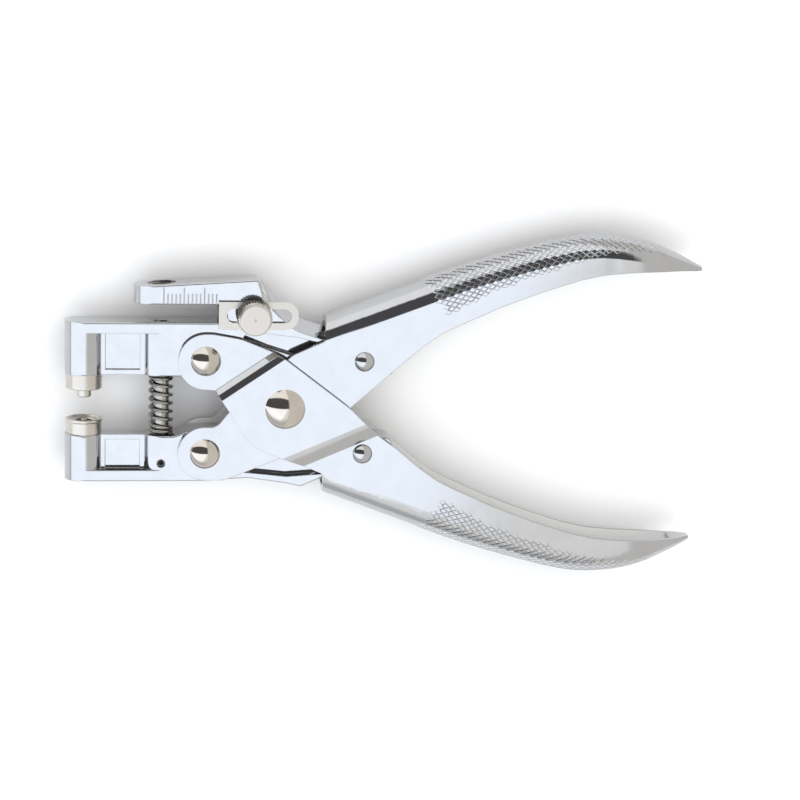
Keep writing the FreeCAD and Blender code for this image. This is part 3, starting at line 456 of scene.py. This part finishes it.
# Lengths in this section are in mm, and x is measured from the main pivot. The tables give, by x,
# the spine's distance from the pivot's axis, the grip's half width and its bend's outer radius.
SPINE = [(28.0, 29.3), (46.0, 35.9), (63.5, 41.1), (73.0, 43.3), (80.0, 43.85), (85.0, 43.55),
         (90.5, 42.6), (96.0, 40.8), (101.0, 38.6)]
HALF_WIDTH = [(28.0, 6.4), (85.0, 6.4), (90.5, 6.25), (96.0, 5.5), (101.0, 4.1)]
BEND = [(28.0, 5.4), (85.0, 5.4), (90.5, 5.2), (96.0, 4.5), (101.0, 3.3)]

# How far round the section from the spine's middle the knurl reaches, by x.
KNURL_REACH = [(34.5, 13.8), (37.0, 13.5), (52.0, 11.2), (66.0, 10.3), (74.0, 9.7), (84.0, 7.5),
               (97.0, 4.6)]
KNURL_START = 34.5
KNURL_END = 96.5
KNURL_SLANT = 0.2
KNURL_PITCH_ALONG = 2.15
KNURL_PITCH_ROUND = 1.37

# A diamond's height and how far its foot is sunk, the shares of the pitch that its foot and its top
# fill, and where and by how much the heights fade towards the tip.
KNURL_HEIGHT = 0.13
KNURL_SUNK = 0.03
FOOT_SHARE = 0.98
TOP_SHARE = 0.68
KNURL_FADE = (66.0, 98.0)
FADE_SHARE = 0.75

# Rays that find the grip's surface start this far out, and hit it this squarely at least.
RAY_START = 20
RAY_SQUARE = 0.5

# Round a diamond's corners and the middles of its sides, in halves of its diagonals.
DIAMOND = [(1, 0), (0.5, 0.5), (0, 1), (-0.5, 0.5), (-1, 0), (-0.5, -0.5), (0, -1), (0.5, -0.5)]


def between(table, x):
    """Straight-line interpolation in a table of (x, value)."""
    for (x0, value0), (x1, value1) in zip(table, table[1:]):
        if x <= x1:
            return value0 + (value1 - value0) * (max(x, x0) - x0) / (x1 - x0)
    return table[-1][1]


def spine_slope(x):
    """The spine's slope at x."""
    return (between(SPINE, x + 1) - between(SPINE, x - 1)) / 2


def grip_point(tree, side, x, round_):
    """The place and outward normal on a grip at x, at a distance round from the spine's middle."""
    along = Vector((1, spine_slope(x) * side, 0)).normalized()
    out = Vector((-along.y, along.x, 0)) * side
    bend = between(BEND, x)
    flat = between(HALF_WIDTH, x) - bend
    sign = 1 if round_ >= 0 else -1
    distance = abs(round_)
    angle = min(max((distance - flat) / bend, 0.0), math.pi / 2)
    past = max(distance - flat - bend * math.pi / 2, 0.0)
    centre = Vector((x, between(SPINE, x) * side, 0)) - out * (bend + past)
    centre.z = sign * min(distance, flat)
    centre = centre * MM + Vector((PIVOT_X, 0, MIDDLE_Z))
    ray = out * math.cos(angle) + Vector((0, 0, sign)) * math.sin(angle)
    hit, normal, _, _ = tree.ray_cast(centre + ray * RAY_START * MM, -ray)
    return (hit, normal) if hit and normal.dot(ray) > RAY_SQUARE else None


def knurl_places():
    """The centres of the diamonds: x along the grip and the distance round it."""
    rows = int(2 * KNURL_REACH[0][1] / KNURL_PITCH_ROUND)
    places = []
    for row in range(-rows, rows + 1):
        round_ = row * KNURL_PITCH_ROUND / 2
        x = KNURL_START + (row % 2) * KNURL_PITCH_ALONG / 2
        while x < KNURL_END:
            edge = KNURL_START + KNURL_SLANT * abs(round_)
            if x >= edge and abs(round_) <= between(KNURL_REACH, x):
                places.append((x, round_))
            x += KNURL_PITCH_ALONG / math.hypot(1, spine_slope(x))
    return places


def add_diamond(vertices, faces, tree, side, x, round_):
    """Adds a raised diamond with bevelled sides, sunk a little into the grip."""
    start, end = KNURL_FADE
    fade = min(max((x - start) / (end - start), 0.0), 1.0)
    height = KNURL_HEIGHT * (1 - FADE_SHARE * fade)
    rings = []
    for spread, lift in ((FOOT_SHARE, -KNURL_SUNK), (TOP_SHARE, height)):
        for right, up in DIAMOND:
            found = grip_point(tree, side, x + right * spread * KNURL_PITCH_ALONG / 2,
                               round_ + up * spread * KNURL_PITCH_ROUND / 2)
            if not found:
                return
            rings.append(found[0] + found[1] * lift * MM)
    found = grip_point(tree, side, x, round_)
    if not found:
        return
    rings.append(found[0] + found[1] * height * MM)
    first = len(vertices)
    vertices.extend(rings)
    count = len(DIAMOND)
    top = first + count
    middle = top + count
    turn = -1 if side > 0 else 1
    for k in range(count):
        after = (k + 1) % count
        faces.append((first + k, first + after, top + after, top + k)[::turn])
        faces.append((top + k, top + after, middle)[::turn])
    faces.append(tuple(range(first + count - 1, first - 1, -1))[::turn])


def make_knurl(handle, side, material):
    """The diamond knurl of one handle's grip."""
    mesh = nodes[handle].data
    points = [v.co.copy() for v in mesh.vertices]
    tree = BVHTree.FromPolygons(points, [tuple(p.vertices) for p in mesh.polygons])
    vertices = []
    faces = []
    for x, round_ in knurl_places():
        add_diamond(vertices, faces, tree, side, x, round_)
    name = handle.replace("handle", "knurl")
    piece = add_piece(name, vertices, faces, material, f"{handle}_body")
    middle = 2 * len(DIAMOND)
    for edge in piece.data.edges:
        edge.use_edge_sharp = max(v % (middle + 1) for v in edge.vertices) < middle


# ---- scene -------------------------------------------------------------------------------------

materials = make_materials()
dress(materials)
make_spring(materials["steel"])
make_knurl("upper_handle", 1, materials["knurl"])
make_knurl("lower_handle", -1, materials["knurl"])
make_camera()
make_floor()
make_lamp()
make_world()
bpy.context.scene.view_settings.view_transform = "Standard"
